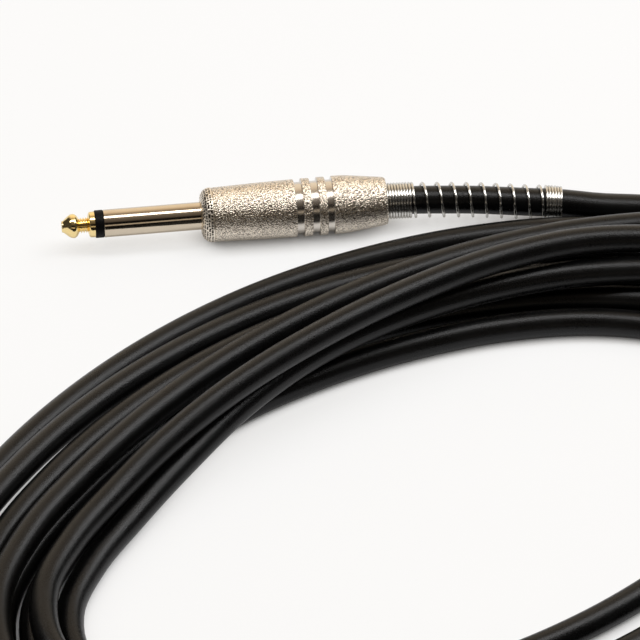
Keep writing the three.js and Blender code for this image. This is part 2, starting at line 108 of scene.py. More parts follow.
aim = Vector((nose.x, nose.y, 0)) + aim_from_nose
ahead = Vector((math.sin(camera_turn), math.cos(camera_turn), 0))
look = ahead * math.cos(camera_elevation) - UP * math.sin(camera_elevation)
camera_data = bpy.data.cameras.new("camera")
camera_data.lens = camera_data.sensor_width * camera_distance / picture_width
camera_data.clip_end = 20
camera = bpy.data.objects.new("camera", camera_data)
camera.location = aim - look * camera_distance
camera.rotation_euler = look.to_track_quat("-Z", "Y").to_euler()
bpy.context.scene.collection.objects.link(camera)
bpy.context.scene.camera = camera
print("lens", round(camera_data.lens), "mm")

# %% [markdown]
# ## The way the cord lies
# The photograph shows eight strands of one coil. Each turn follows the same tilted oval, with a
# distance beyond it at eight places a turn. Those distances were set partly by a small fit to the
# strands' places in the photograph, and are rounded to half a millimetre. The turns could be laid
# as a plain spiral, but then no strand would cross another as the real ones do. The distances
# alone would let some turns cut into each other, so a settling step pushes neighbours apart, in
# the plane across the cord, until their centres are a cord and a little more apart.

# %% Sizes of the coil
cord_radius = 3.2 * MM
turn_spacing = 2 * cord_radius + 0.66 * MM
layer_rise = 1.875 * cord_radius
oval_centre = Vector((42.3, -96.4)) * MM
oval_long = 88 * MM
oval_short = 50 * MM
oval_tilt = math.radians(23.4)
steps_per_turn = 24
stations_per_turn = 8
start_angle = math.radians(45)
coil_start = 2
settle_rounds = 150
free_rounds = 50
drift_kept = 0.97
# Millimetres beyond the oval at 45, 0, 315, 270, 225, 180, 135 and 90 degrees, one row a turn.
turn_offsets = [
    [36, 37, 37, 37, 34, 34, 27.5, 28],
    [27.5, 28.5, 30.5, 30.5, 27, 31, 22, 20.5],
    [20.5, 21.5, 23.5, 23.5, 20, 26, 19, 16.5],
    [13.5, 11, 9.5, 9.5, 8, 13, 1.5, -1],
    [-1.5, -1.5, -2.5, -2.5, 0, 4.5, -1, 3.5],
    [8, 12, 20, 20, 16, 19.5, 9, 9.5],
    [6.5, 6, 16, 16.5, 12, 10.5, -0.5, -2],
    [10, 20, 27, 27, 22, 20, 9, 11],
    [20.5, 34, 46],
]
# The layer each turn lies in at the same places.
turn_layers = [
    [0, 0, 0, 0, 0, 0, 0, 0],
    [0, 0, 0, 0, 0, 0.2, 0.3, 0.2],
    [0, 0, 0, 0, 0, 0.3, 0.5, 0.5],
    [0, 0, 0, 0, 0, 0, 0, 0],
    [0, 0, 0, 0, 0, 0, 0, 1],
    [1.2, 1, 1, 1, 0.5, 0, 0, 0],
    [0, 0.8, 0.2, 0, 0.5, 1, 1, 2.2],
    [1.8, 1, 1, 1, 1, 1, 1, 1.1],
    [1, 1, 0.1],
]
# Bends between a plug and the coil, in the plug's frame: x, y and the share of the plug's height.
lead_bends = {
    "a": [(49, -0.4, 0.97), (57, -0.9, 0.88), (64, -1.4, 0.77), (68.2, -1.7, 0.65), (75, -2.3, 0.48),
          (82.7, -3, 0.31), (90.7, -4.5, 0.15), (99.6, -5.7, 0.06), (115.5, -8.7, 0.02)],
    "b": [(49, 0, 0.97), (60, 0.2, 0.85), (74, 0.8, 0.5), (84, 2, 0.31),
          (97, 5.4, 0.1), (109, 11.2, 0.04), (121, 19, 0.08)],
}
print("rows of the coil:", len(turn_offsets))


# %% Settle the turns
def between(values, place):
    """Catmull-Rom value between the stations of a row."""
    i = int(place)
    f = place - i
    a, b, c, d = (values[min(max(k, 0), len(values) - 1)] for k in range(i - 1, i + 3))
    return b + 0.5 * f * (c - a + f * (2 * a - 5 * b + 4 * c - d + f * (3 * (b - c) + d - a)))


def part(first, second):
    """Push two groups of nodes apart until their middles are one spacing from each other."""
    gap = first.mean(axis=0) - second.mean(axis=0)
    distance = max(math.hypot(*gap), 1e-9)
    if distance < turn_spacing:
        push = (turn_spacing - distance) / 2 / distance * gap
        first += push
        second -= push


def draw_back(nodes, laid):
    """Draw each node towards where it was laid, smoothly along the cord."""
    drift = nodes - laid
    around = np.vstack([drift[:1], drift, drift[-1:]])
    smooth = 0.5 * drift + 0.25 * (around[:-2] + around[2:])
    nodes[:] = laid + drift_kept * smooth


def settled_turns():
    """Offset beyond the oval and height at each step, in metres, with the turns clear of each other."""
    offsets = [offset * MM for row in turn_offsets for offset in row]
    layers = [layer for row in turn_layers for layer in row]
    steps = (len(offsets) - 1) * steps_per_turn // stations_per_turn
    places = [k * stations_per_turn / steps_per_turn for k in range(steps + 1)]
    laid = np.array([(between(offsets, p), cord_radius + layer_rise * between(layers, p)) for p in places])
    nodes = laid.copy()
    for settle_round in range(settle_rounds):
        if settle_round < settle_rounds - free_rounds:
            draw_back(nodes, laid)
        for span in (1, 2):
            for k in range(len(nodes) - span + 1):
                for j in range(k - steps_per_turn, -1, -steps_per_turn):
                    part(nodes[k:k + span], nodes[j:j + span])
            nodes[:, 1] = np.maximum(nodes[:, 1], cord_radius)
    return nodes


def on_oval(angle, offset, height):
    """A point at a turn angle of the oval, moved out along the oval's normal."""
    normal = Vector((oval_short * math.cos(angle), oval_long * math.sin(angle))).normalized()
    flat = Vector((oval_long * math.cos(angle), oval_short * math.sin(angle))) + normal * offset
    flat.rotate(Matrix.Rotation(oval_tilt, 2))
    return Vector((*(flat + oval_centre), height)) + Vector((nose.x, nose.y, 0))


turns = [
    on_oval(start_angle - k * TAU / steps_per_turn, *node) for k, node in enumerate(settled_turns())
][coil_start:]
print("steps of the coil", len(turns), "highest", round(max(p.z for p in turns) / MM, 1), "mm")

# %% [markdown]
# The coil and its two leads are one cord, so their points make one list. A smooth line goes through
# them: at each point its direction weighs the two steps that meet there, and each step gets the
# two inner points of a Bezier curve from those directions.


# %% One smooth centre line
cord_step = 3 * MM
curve_steps = 24


def lead_points(end):
    """Points of a lead, from the end of the jacket inside the plug to its last bend."""
    fall = nose.z - cord_radius
    inside = [(reach("lead")[0], 0, 1), (reach("spring")[0], 0, 1)]
    return [
        plugs[end] @ Vector((x * MM, y * MM, (share - 1) * fall))
        for x, y, share in inside + lead_bends[end]
    ]


def smooth_line(points, spacing):
    """Points every spacing metres along a smooth curve through the given points."""
    p = np.array(points)
    step = np.linalg.norm(np.diff(p, axis=0), axis=1)
    slope = np.diff(p, axis=0) / step[:, None]
    weight = step[1:, None] / (step[:-1, None] + step[1:, None])
    inner = slope[:-1] * weight + slope[1:] * (1 - weight)
    heading = np.vstack([slope[:1], inner, slope[-1:]])
    heading /= np.linalg.norm(heading, axis=1)[:, None]
    t = np.linspace(0, 1, curve_steps + 1)[:-1, None]
    fine = [
        (1 - t) ** 3 * p[i] + 3 * (1 - t) ** 2 * t * (p[i] + heading[i] * step[i] / 3)
        + 3 * (1 - t) * t ** 2 * (p[i + 1] - heading[i + 1] * step[i] / 3) + t ** 3 * p[i + 1]
        for i in range(len(step))
    ]
    return even(np.vstack([*fine, p[-1:]]), spacing)


def even(line, spacing):
    """The same line with points an even distance apart."""
    along = np.concatenate([[0], np.cumsum(np.linalg.norm(np.diff(line, axis=0), axis=1))])
    places = np.linspace(0, along[-1], max(2, round(along[-1] / spacing) + 1))
    return np.column_stack([np.interp(places, along, line[:, c]) for c in range(3)])


centre_line = smooth_line(lead_points("a") + turns + lead_points("b")[::-1], cord_step)
cord_length = np.linalg.norm(np.diff(centre_line, axis=0), axis=1).sum()
print("cord length", round(cord_length, 3), "m")

# %% [markdown]
# ## One way to write a finish
# A finish is a tree of nodes. Here a value in the tree is a Python object with the usual operators,
# so a mask can be written as `1 - worn * 0.3`, and each operator adds its Math node. Every other
# node comes from one method, which takes the node's type, its settings and its inputs.


# %% Values and trees of nodes
class Value:
    """An output of a node. Arithmetic on it adds Math nodes to its tree."""

    def __init__(self, tree, socket):
        self.tree = tree
        self.socket = socket

    def math(self, operation, *inputs):
        return self.tree.node("Math", {"operation": operation}, dict(enumerate(inputs)))

    def __add__(self, other):
        return self.math("ADD", self, other)

    def __sub__(self, other):
        return self.math("SUBTRACT", self, other)

    def __rsub__(self, other):
        return self.math("SUBTRACT", other, self)

    def __mul__(self, other):
        return self.math("MULTIPLY", self, other)

    __radd__ = __add__
    __rmul__ = __mul__


class Tree:
    """The nodes of one material or of the world."""

    def __init__(self, owner):
        owner.use_nodes = True
        self.nodes = owner.node_tree.nodes
        self.links = owner.node_tree.links
        self.nodes.clear()

    def node(self, kind, settings=None, inputs=None, output=0):
        made = self.nodes.new("ShaderNode" + kind)
        for name, value in (settings or {}).items():
            if name == "stops":
                for stop in range(2, len(value)):
                    made.color_ramp.elements.new(1)
                for element, (position, colour) in zip(made.color_ramp.elements, value):
                    element.position = position
                    element.color = colour
            else:
                setattr(made, name, value)
        for name, value in (inputs or {}).items():
            if isinstance(value, Value):
                self.links.new(value.socket, made.inputs[name])
            else:
                made.inputs[name].default_value = value
        return Value(self, made.outputs[output]) if made.outputs else None

    def noise(self, place, size, detail=2, roughness=0.5):
        """Soft noise from 0 to 1 whose lumps are about the given size in metres."""
        inputs = {"Vector": place, "Scale": 1 / size, "Detail": detail, "Roughness": roughness}
        return self.node("TexNoise", {"normalize": True}, inputs)

    def between(self, low, high, value):
        """0 below low, 1 above high, and smooth between."""
        inputs = {0: value, 1: low, 2: high, 3: 0, 4: 1}
        return self.node("MapRange", {"interpolation_type": "SMOOTHSTEP"}, inputs)

    def mix(self, factor, first, second):
        """A colour that goes from the first to the second."""
        return self.node("Mix", {"data_type": "RGBA"}, {0: factor, 6: first, 7: second}, output=2)

    def bump(self, height, depth):
        """The normal of a surface whose height goes from 0 to the given depth in metres."""
        return self.node("Bump", {}, {"Height": height, "Distance": depth, "Strength": 1})


def rgb(red, green, blue):
    """A colour as a socket takes it, from display values out of 255."""
    shares = [value / 255 for value in (red, green, blue)]
    return (*(((c + 0.055) / 1.055) ** 2.4 if c > 0.04045 else c / 12.92 for c in shares), 1)


def finish(name, make):
    """A material whose Principled BSDF takes the inputs that make(tree, place) gives."""
    material = bpy.data.materials.new(name)
    tree = Tree(material)
    place = tree.node("TexCoord", output="Object")
    shader = tree.node("BsdfPrincipled", {}, make(tree, place))
    tree.node("OutputMaterial", {}, {"Surface": shader})
    print("finish", name, "with", len(tree.nodes), "nodes")
    return material


print("a display value of 128 is", round(rgb(128, 128, 128)[0], 3), "in a socket")

# %% [markdown]
# ## The cord
# The jacket is soft black plastic with a satin skin. A curve with a bevel would do, but a mesh tube
# gives each point of the skin a place along the cord and around it, which the fine lines that the
# extruder leaves along a real jacket need.


# %% A tube along a line
def unit(vectors):
    return vectors / np.linalg.norm(vectors, axis=-1, keepdims=True)


def new_piece(name, corners, faces, finishes, sharp=35):
    """A smooth-shaded mesh object with its finishes."""
    mesh = bpy.data.meshes.new(name)
    mesh.from_pydata(corners, [], faces)
    for material in finishes:
        mesh.materials.append(material)
    mesh.shade_smooth()
    mesh.set_sharp_from_angle(angle=math.radians(sharp))
    piece = bpy.data.objects.new(name, mesh)
    bpy.context.scene.collection.objects.link(piece)
    return piece


def ring_faces(rings, sides):
    """Quads between rings of corners, one ring after another."""
    ring, side = np.meshgrid(np.arange(rings - 1), np.arange(sides), indexing="ij")
    here = ring * sides
    after = (side + 1) % sides
    quads = np.stack([here + side, here + after, here + sides + after, here + sides + side], axis=-1)
    return quads.reshape(-1, 4).tolist()


def tube(name, line, radius, sides, finishes, outs=UP):
    """A tube with a ring of corners at each point of a line and a flat face on each end."""
    along = unit(np.gradient(line, axis=0))
    side = unit(np.cross(np.broadcast_to(np.array(outs), line.shape), along))
    out = np.cross(along, side)
    turn = np.arange(sides) * TAU / sides
    spokes = np.cos(turn)[:, None] * out[:, None] + np.sin(turn)[:, None] * side[:, None]
    corners = (line[:, None] + radius * spokes).reshape(-1, 3)
    last = (len(line) - 1) * sides
    ends = [list(range(sides))[::-1], [last + j for j in range(sides)]]
    return new_piece(name, corners.tolist(), ring_faces(len(line), sides) + ends, finishes)


def map_tube(piece, line, sides, radius):
    """Coordinates in metres for a tube's skin: distance along the line and around it."""
    along = np.concatenate([[0], np.cumsum(np.linalg.norm(np.diff(line, axis=0), axis=1))])
    layer = piece.data.uv_layers.new(name="skin")
    skin = np.zeros((len(piece.data.loops), 2))
    index = np.array([loop.vertex_index for loop in piece.data.loops])
    skin[:, 0] = along[index // sides]
    skin[:, 1] = index % sides
    quads = skin[:4 * (len(line) - 1) * sides].reshape(-1, 4, 2)
    seam = quads[:, :, 1].max(axis=1) - quads[:, :, 1].min(axis=1) > 1
    quads[seam, 1:3, 1] = sides
    skin[:, 1] *= TAU * radius / sides
    layer.data.foreach_set("uv", skin.ravel())


print("two rings of four corners make", len(ring_faces(2, 4)), "quads")


# %% The cord's skin and the cord
def cord_skin(tree, place):
    skin = tree.node("UVMap", {"uv_map": "skin"})
    stretched = tree.node("VectorMath", {"operation": "MULTIPLY"}, {0: skin, 1: (0.02, 1, 1)})
    lines = tree.noise(stretched, 0.55 * MM, 3, 0.6)
    grain = tree.noise(place, 0.22 * MM, 2, 0.6)
    dust = tree.noise(place, 9 * MM, 4, 0.6)
    handled = tree.between(0.35, 0.7, dust)
    return {
        "Base Color": tree.mix(handled, rgb(6, 6, 6), rgb(11, 11, 11)),
        "Roughness": 0.2 + 0.04 * handled + 0.14 * grain,
        "Specular IOR Level": 0.29,
        "Normal": tree.bump(lines * 0.6 + grain, 0.042 * MM),
    }


cord_sides = 24
cord_jacket = finish("cord_jacket", cord_skin)
cord = tube("cord", centre_line, cord_radius, cord_sides, [cord_jacket])
map_tube(cord, centre_line, cord_sides, cord_radius)
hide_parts("lead_a", "coil", "lead_b")
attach(cord, "root")
barrel_front, barrel_rear = reach("barrel")
print("cord", len(cord.data.polygons), "faces")

# %% [markdown]
# ## The springs
# A wire spring grips the cord behind each barrel and keeps it from bending sharply there. It is
# wound in one piece: close curls inside the barrel and just behind it, nine open curls, and close
# curls again at its end. A screw modifier could wind it on a straight axis, but the cord bends, so
# the wire's centre line winds round the cord's own line here and follows every bend.

# %% Winding a spring
wire_radius = 0.3 * MM
close_pitch = 0.655 * MM
open_pitch = 3.33 * MM
curls = {"front": 18.2, "open": 9, "rear": 6.4}
# Curls over which the pitch changes, and the winding's radius at its start, at the first open curl,
# one curl later, at the last open curl and at its end.
pitch_change = 0.8
curl_radii = np.array([3.86, 3.86, 3.8, 3.74, 3.6]) * MM
steps_per_curl = 32
wire_sides = 10
# The spring follows this many points of the cord's line, drawn again with finer steps.
points_followed = 60
followed_step = 0.1 * MM


def spring_line(end):
    """Points of the wire and the direction of each away from the cord."""
    line = centre_line if end == "a" else centre_line[::-1]
    fine = even(line[:points_followed], followed_step)
    along_line = np.concatenate([[0], np.cumsum(np.linalg.norm(np.diff(fine, axis=0), axis=1))])
    count = round(sum(curls.values()) * steps_per_curl)
    curl = np.arange(count + 1) / steps_per_curl
    opened = [curls["front"], curls["front"] + curls["open"]]
    opening = np.clip((curl - opened[0]) / pitch_change + 0.5, 0, 1)
    closing = np.clip((opened[1] - curl) / pitch_change + 0.5, 0, 1)
    pitch = close_pitch + (open_pitch - close_pitch) * (opening * closing)
    start = (reach("spring")[0] - reach("lead")[0]) * MM + wire_radius
    distance = start + np.concatenate([[0], np.cumsum(pitch[:-1] / steps_per_curl)])
    radius = np.interp(curl, [0, opened[0], opened[0] + 1, opened[1], curl[-1]], curl_radii)
    point = np.column_stack([np.interp(distance, along_line, fine[:, c]) for c in range(3)])
    along = unit(np.gradient(point, axis=0))
    side = unit(np.cross(np.broadcast_to(np.array(UP), point.shape), along))
    up = np.cross(along, side)
    turn = curl[:, None] * TAU
    out = np.cos(turn) * up - np.sin(turn) * side
    return point + radius[:, None] * out, out


def bright_wire(tree, place):
    drawn = tree.noise(place, 0.12 * MM, 3, 0.6)
    return {
        "Base Color": tree.mix(drawn, rgb(196, 194, 189), rgb(228, 226, 220)),
        "Metallic": 1.0,
        "Roughness": 0.12 + 0.16 * drawn,
        "Normal": tree.bump(drawn, 0.004 * MM),
    }


spring_wire = finish("spring_wire", bright_wire)
for end in "ab":
    wire, outs = spring_line(end)
    spring = tube(f"spring_wire_{end}", wire, wire_radius, wire_sides, [spring_wire], outs)
    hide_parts(f"spring_{end}")
    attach(spring, "root")
    print("spring", end, "of", round(sum(curls.values()), 1), "curls")

# %% [markdown]
# ## Turned pieces
# The rest of a plug is turned on a lathe, so an outline of places along the axis and radii is all
# that a piece needs. A real edge is never sharp: each corner of the outline is rounded a little,
# because that is what catches a line of light. A relief can then dent or thread the surface.


# %% Turning an outline
def from_axis(x, radius, angle):
    """Corners in a plug's frame, from places along the axis, radii and angles."""
    return np.column_stack([x, radius * np.cos(angle), radius * np.sin(angle)])


def rounded(outline, edge, steps=4):
    """The outline with each corner replaced by a small curve. A point may name its own edge."""
    points = [np.array(p[:2], float) for p in outline]
    result = []
    for i, point in enumerate(points):
        size = outline[i][2] if len(outline[i]) > 2 else edge
        before, after = points[i - 1] - point, points[(i + 1) % len(points)] - point
        long_before, long_after = np.linalg.norm(before), np.linalg.norm(after)
        on_axis = point[1] == 0
        if on_axis or size == 0:
            result.append(point)
            continue
        reach_back, reach_on = (min(size, 0.45 * length) for length in (long_before, long_after))
        start = point + before / long_before * reach_back
        finish_at = point + after / long_after * reach_on
        for t in np.linspace(0, 1, steps):
            result.append((1 - t) ** 2 * start + 2 * t * (1 - t) * point + t ** 2 * finish_at)
    return np.array(result)


def turned(name, end, outline, finishes, edge=0.08, sides=128, relief=None, polished=None):
    """A piece turned round a plug's axis from points (x, radius) in millimetres."""
    profile = rounded(outline, edge)
    closed = profile[0][1] > 0
    if not closed:
        profile = profile[1:-1]
    rings = len(profile)
    turn = np.arange(sides) * TAU / sides
    x = np.repeat(profile[:, 0], sides)
    radius = np.repeat(profile[:, 1], sides)
    angle = np.tile(turn, rings)
    change = relief(x, radius, angle) if relief else 0 * x
    radius = radius + change
    local = from_axis(x, radius, angle) * MM
    matrix = np.array(plugs[end])
    corners = local @ matrix[:3, :3].T + matrix[:3, 3]
    faces = ring_faces(rings, sides)
    if closed:
        last = (rings - 1) * sides
        faces += [[last + j, last + (j + 1) % sides, (j + 1) % sides, j] for j in range(sides)]
    else:
        faces += [list(range(sides))[::-1], [(rings - 1) * sides + j for j in range(sides)]]
    piece = new_piece(name, corners.tolist(), faces, finishes)
    piece.data.attributes.new("relief", "FLOAT", "POINT").data.foreach_set("value", change)
    if polished:
        middle = (profile + np.roll(profile, -1, axis=0)) / 2
        for face in piece.data.polygons:
            ring = face.index // sides
            if ring < rings and polished(*middle[ring]):
                face.material_index = 1
    return piece


print("three corners round to", len(rounded([(0, 1), (1, 1), (1, 2)], 0.1)), "points")

# %% [markdown]
# ## The gold tip
# The tip has a blunt nose, a cone, a bulge that a socket's spring clicks behind, a waist with three
# fine rings left by the lathe, and a shoulder. Its flash of gold plating is thin and bright.

# %% Tip
def plated_gold(tree, place):
    turned_marks = tree.noise(place, 0.25 * MM, 2, 0.5)
    return {
        "Base Color": tree.mix(turned_marks, rgb(248, 216, 140), rgb(255, 236, 182)),
        "Metallic": 1.0,
        "Roughness": 0.08 + 0.1 * turned_marks,
        "Normal": tree.bump(turned_marks, 0.003 * MM),
    }


gold_contact = finish("gold_contact", plated_gold)
tip_front, tip_back = reach("tip")
tip_shoulder = reach("tip_insulator")[0] - 0.05
pin_radius = half_height("tip")
rod_radius = 1.1
first_ring = 4.25
ring_spacing = 0.58
tip_outline = [
    (tip_front, 0), (tip_front, 1.25, 0.12), (tip_front + 0.35, 1.35, 0.08), (tip_front + 1, 1.9, 0.1),
    (tip_front + 1.5, 2.35, 0.3), (tip_front + 2.05, 2.68, 0.3), (tip_front + 2.6, 2.8, 0.3),
    (tip_front + 3.1, 2.72, 0.3), (tip_front + 3.6, 2.27, 0.2), (tip_front + 4.1, 1.42, 0.1),
    *((tip_front + first_ring + ring_spacing * k + dx, radius, 0.06) for k in range(3)
      for dx, radius in ((0, 1.4), (0.12, 1.72), (0.32, 1.72), (0.44, 1.4))),
    (tip_front + 5.9, 1.5, 0.1), (tip_front + 6.1, 2.2, 0.15), (tip_front + 6.3, 2.8, 0.1),
    (tip_front + 6.5, 2.92, 0.1), (tip_shoulder, 2.98, 0.1), (tip_shoulder, rod_radius),
    (tip_back - 0.8, rod_radius), (tip_back - 0.8, 1.7, 0.2), (tip_back, 1.5, 0.3), (tip_back, 0),
]
for end in "ab":
    tip = turned(f"gold_tip_{end}", end, tip_outline, [gold_contact], 0.05)
    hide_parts(f"tip_{end}")
    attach(tip, "root")
print("tip", round(tip_back - tip_front, 1), "mm long")

# %% [markdown]
# ## The insulator and the sleeve
# A black ring keeps the tip's contact apart from the sleeve's. It is one moulding with the tube that
# runs inside the sleeve. The sleeve is plated with bright nickel, which mirrors the room: what shows
# on it is a warm wall, a dark room and the white floor, so its finish is nearly a plain mirror.

# %% Insulator and sleeve
def moulded_black(tree, place):
    grain = tree.noise(place, 0.3 * MM, 3, 0.6)
    return {
        "Base Color": tree.mix(grain, rgb(5, 5, 5), rgb(10, 10, 10)),
        "Roughness": 0.4 + 0.16 * grain,
        "Specular IOR Level": 0.12,
        "Normal": tree.bump(grain, 0.006 * MM),
    }


def bright_nickel(tree, place):
    rubbed = tree.noise(place, 0.3 * MM, 3, 0.65)
    cloudy = tree.noise(place, 3 * MM, 2, 0.5)
    return {
        "Base Color": tree.mix(cloudy, rgb(204, 190, 169), rgb(220, 207, 186)),
        "Metallic": 1.0,
        "Roughness": 0.06 + 0.1 * rubbed,
        "Normal": tree.bump(rubbed, 0.004 * MM),
    }


black_insulator = finish("black_insulator", moulded_black)
polished_nickel = finish("polished_nickel", bright_nickel)
ring_front, tube_back = reach("tip_insulator")
sleeve_front, sleeve_back = reach("sleeve")
tube_bore, tube_radius, sleeve_bore = 1.25, 2.0, 2.15
insulator_outline = [
    (ring_front, tube_bore), (ring_front, pin_radius, 0.15), (sleeve_front - 0.05, pin_radius, 0.15),
    (sleeve_front - 0.05, tube_radius), (tube_back, tube_radius), (tube_back, tube_bore),
]
sleeve_outline = [
    (sleeve_front, sleeve_bore), (sleeve_front, pin_radius, 0.12), (sleeve_back, pin_radius),
    (sleeve_back, sleeve_bore),
]
for end in "ab":
    insulator = turned(f"insulator_ring_{end}", end, insulator_outline, [black_insulator])
    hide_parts(f"tip_insulator_{end}")
    sleeve = turned(f"nickel_sleeve_{end}", end, sleeve_outline, [polished_nickel])
    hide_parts(f"sleeve_{end}")
    for piece in (insulator, sleeve):
        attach(piece, "root")
print("sleeve", round(sleeve_back - sleeve_front, 1), "mm long")

# %% [markdown]
# ## The collar
# The collar's flange is the rounded front end of the housing, dented all over by a stippling tool.
# Behind it is the thread that the barrel screws on to, which shows when the barrel is unscrewed.
# Both are real relief in the mesh: dents in staggered rows and a ridge that climbs once a turn.

# %% Collar
thread_pitch = 0.75
thread_depth = 0.22
dent_spacing = 0.68
dent_width = 0.21
dent_depth = 0.18
dent_rows = 6
dent_jitter = 0.25
flange_back = 2.65
flange_rounding = 2.4
mouth_radius = 3.6
seat_radius = 3.33
seat_back = 6.15
rear_bore = 2.3
collar_back = reach("collar")[1]
collar_radius = half_height("collar")
thread_radius = 4.89
collar_sides = 384


def blasted_nickel(tree, place):
    grain = tree.noise(place, 0.29 * MM, 1, 0.5)
    # Painted shade: dark specks in the colour stand in for the shade in the grit pits.
    painted_pit_shade = tree.between(0.48, 0.62, grain)
    worn = tree.noise(place, 4 * MM, 3, 0.6)
    return {
        "Base Color": tree.mix(painted_pit_shade, rgb(245, 234, 217), rgb(150, 139, 126)),
        "Metallic": 1.0,
        "Roughness": 0.27 - 0.04 * worn,
        "Normal": tree.bump(grain, 0.22 * MM),
    }


def dented_nickel(tree, place):
    relief = tree.node("Attribute", {"attribute_name": "relief"}, output="Fac")
    # Painted shade: each dent is darkened in the colour, as the shade that falls in it.
    painted_dent_shade = tree.between(0.03, 0.09, 0 - relief)
    grain = tree.noise(place, 0.3 * MM, 3, 0.7)
    return {
        "Base Color": tree.mix(painted_dent_shade, rgb(240, 230, 214), rgb(36, 27, 20)),
        "Metallic": 1.0,
        "Roughness": 0.24 + 0.12 * grain,
        "Normal": tree.bump(grain, 0.05 * MM),
    }


def dents():
    """Places (x, radius, angle) of the dents, in staggered rows over the rounded front."""
    draw = np.random.default_rng(4)
    places = []
    for row in range(dent_rows):
        bend = (row + 0.5) / dent_rows * TAU / 4
        x = flange_rounding * (1 - math.cos(bend))
        radius = collar_radius - flange_rounding * (1 - math.sin(bend))
        count = round(TAU * radius / dent_spacing)
        for k in range(count):
            jitter = draw.uniform(-dent_jitter, dent_jitter, 3)
            places.append((x + 0.4 * jitter[0], radius + 0.1 * jitter[1],
                           (k + 0.5 * (row % 2) + jitter[2]) * TAU / count))
    return np.array(places)


dent_places = dents()


def collar_relief(x, radius, angle):
    """Dents on the flange and a thread on the boss, as changes of radius in millimetres."""
    change = np.zeros(len(x))
    flange = np.nonzero((x < flange_back - 0.05) & (radius > mouth_radius))[0]
    spots = from_axis(*dent_places.T)
    for chunk in np.array_split(flange, 60):
        here = from_axis(x[chunk], radius[chunk], angle[chunk])
        distance = np.linalg.norm(here[:, None] - spots[None], axis=2)
        change[chunk] -= dent_depth * np.exp(-(distance / dent_width) ** 2).sum(axis=1)
    boss = (x > flange_back + 0.2) & (x < collar_back - 0.15) & (radius > thread_radius - 0.3)
    phase = (x / thread_pitch - angle / TAU) % 1
    change[boss] -= thread_depth * (1 - np.abs(2 * phase[boss] - 1))
    return change


satin_nickel = finish("satin_nickel", blasted_nickel)
stippled_nickel = finish("stippled_nickel", dented_nickel)
flange_arc = [
    (flange_rounding * (1 - math.cos(t)), collar_radius - flange_rounding * (1 - math.sin(t)), 0)
    for t in np.linspace(0, TAU / 4, 40)
]
boss_rings = [
    (x, thread_radius, 0) for x in np.arange(flange_back + 0.1, collar_back - 0.05, thread_pitch / 7)
]
collar_outline = [
    (0, seat_radius), (0, mouth_radius), *flange_arc, (flange_back, collar_radius, 0.1),
    (flange_back, thread_radius), *boss_rings, (collar_back, thread_radius - 0.2, 0),
    (collar_back, rear_bore), (seat_back, rear_bore), (seat_back, seat_radius),
]
for end in "ab":
    collar = turned(f"stippled_collar_{end}", end, collar_outline, [stippled_nickel], edge=0.06,
                    sides=collar_sides, relief=collar_relief)
    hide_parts(f"collar_{end}")
    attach(collar, "root")
print("collar with", len(dent_places), "dents")

# %% [markdown]
# ## The barrel
# The barrel swells slowly towards the back, has three grooves and ends in a taper. It was blasted
# with grit before the grooves were cut, so their floors are bright: a second finish on those faces.
# Dents as deep as the collar's need real relief, but the pits that grit leaves are so small that
# they would take millions of faces, so the blasted finish makes them with bump, and paints their
# shade as dark specks in its colour.

# %% Barrel
def turned_nickel(tree, place):
    marks = tree.noise(place, 0.2 * MM, 2, 0.5)
    return {
        "Base Color": tree.mix(marks, rgb(206, 198, 188), rgb(226, 219, 208)),
        "Metallic": 1.0,
        "Roughness": 0.16 + 0.12 * marks,
        "Normal": tree.bump(marks, 0.01 * MM),
    }


groove_nickel = finish("groove_nickel", turned_nickel)
groove_places = [(21.5, 23.2), (25.1, 26.8), (28.6, 30.2)]
groove_radius = 5.88
groove_slope = 0.03
bright_from, bright_to = 5.3, 6.4
barrel_bore = 5.14
tail_bore = 4.52
barrel_sides = 160
barrel_outline = [
    (barrel_front, barrel_bore), (barrel_front - 0.1, 6.1, 0.05), (barrel_front + 0.2, 6.2, 0.1),
    (8, 6.34, 2), (14, 6.5, 2),
    *((x, radius, 0.12) for front, back in groove_places for x, radius in (
        (front, 6.62), (front + groove_slope, groove_radius), (back - groove_slope, groove_radius),
        (back, 6.66))),
    (32.5, 6.68, 1.5), (36, 6.25, 1.5), (39.5, 5.8, 1.5), (41.9, 5.5, 0.3), (barrel_rear, 5.25, 0.2),
    (barrel_rear, tail_bore, 0.2), (38.6, tail_bore), (36.6, barrel_bore),
]


def in_groove(x, radius):
    """Whether a face is part of a groove, and neither the barrel's skin nor its bore."""
    at_groove = any(front - 0.05 < x < back + 0.05 for front, back in groove_places)
    return at_groove and bright_from < radius < bright_to


for end in "ab":
    barrel = turned(f"blasted_barrel_{end}", end, barrel_outline, [satin_nickel, groove_nickel], edge=0.08,
                    sides=barrel_sides, polished=in_groove)
    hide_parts(f"barrel_{end}")
    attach(barrel, f"barrel_screw_{end}")
print("barrel from", round(barrel_front, 2), "to", round(barrel_rear, 2), "mm")

# %% [markdown]
# ## Inside the housing
# The terminals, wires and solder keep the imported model's own meshes, because they only show when a
# plug is taken apart. Each gets the finish of its real metal or plastic.

# %% Finishes of the hidden pieces
def tinned(tree, place):
    clouds = tree.noise(place, 1.2 * MM, 4, 0.6)
    return {
        "Base Color": tree.mix(clouds, rgb(168, 168, 164), rgb(205, 205, 200)),
        "Metallic": 1.0,
        "Roughness": 0.28 + 0.2 * clouds,
        "Normal": tree.bump(clouds, 0.01 * MM),
    }


def dull_solder(tree, place):
    frost = tree.noise(place, 0.5 * MM, 4, 0.7)
    return {
        "Base Color": tree.mix(frost, rgb(150, 150, 148), rgb(196, 196, 193)),
        "Metallic": 1.0,
        "Roughness": 0.25 + 0.3 * frost,
        "Normal": tree.bump(frost, 0.03 * MM),
    }


